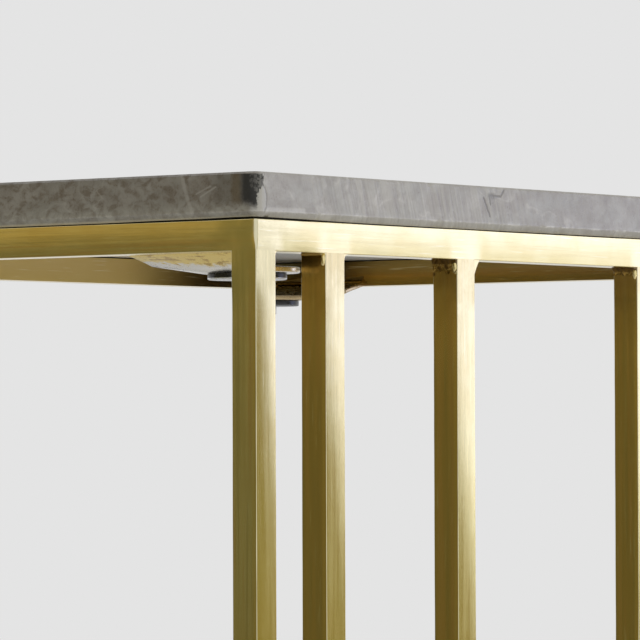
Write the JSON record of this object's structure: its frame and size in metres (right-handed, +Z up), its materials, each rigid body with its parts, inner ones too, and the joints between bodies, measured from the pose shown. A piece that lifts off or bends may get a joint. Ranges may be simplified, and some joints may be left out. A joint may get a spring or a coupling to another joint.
{
  "type": "wine table",
  "caption": "C-shaped wine table: a dark stone slab bolted to a slatted frame of brass-finished square bar, with an open side that slides over a seat or a sofa arm.",
  "frame": {"origin": "centre of the table's footprint, on the floor", "axes": "+Z up; +X along the slatted side, to the right when it is faced; +Y from the slatted side to the open side"},
  "size_m": [0.4, 0.315, 0.6],
  "materials": {
    "stone": "polished dark grey marble with pale veins",
    "brass": "brushed brass, hand-finished",
    "weld": "brass-finished weld beads",
    "tab_plate": "bare plate with patchy brass finish",
    "bright_zinc": "bright zinc plate",
    "insert_brass": "machined",
    "tape": "black foam tape",
    "glide_nylon": "black nylon"
  },
  "bodies": {
    "root": {"stone_top": "stone", "cushion_tape_front": "tape", "cushion_tape_back": "tape", "cushion_tape_left": "tape", "cushion_tape_right": "tape", "top_rail_front": "brass", "top_rail_back": "brass", "top_rail_left": "brass", "top_rail_right": "brass", "post_left": "brass", "post_right": "brass", "slat_1": "brass", "slat_2": "brass", "slat_3": "brass", "slat_4": "brass", "base_rail_front": "brass", "base_rail_back": "brass", "base_rail_left": "brass", "base_rail_right": "brass", "fixing_tab_front_left": "tab_plate", "fixing_tab_front_right": "tab_plate", "fixing_tab_back_left": "tab_plate", "fixing_tab_back_right": "tab_plate", "fixing_bolts": "bright_zinc", "penny_washers": "bright_zinc", "threaded_inserts": "insert_brass", "floor_glide_front_left": "glide_nylon", "floor_glide_front_right": "glide_nylon", "floor_glide_back_left": "glide_nylon", "floor_glide_back_right": "glide_nylon", "top_weld_beads": "weld", "base_weld_beads": "weld", "tab_weld_beads": "weld"}
  },
  "joints": []
}
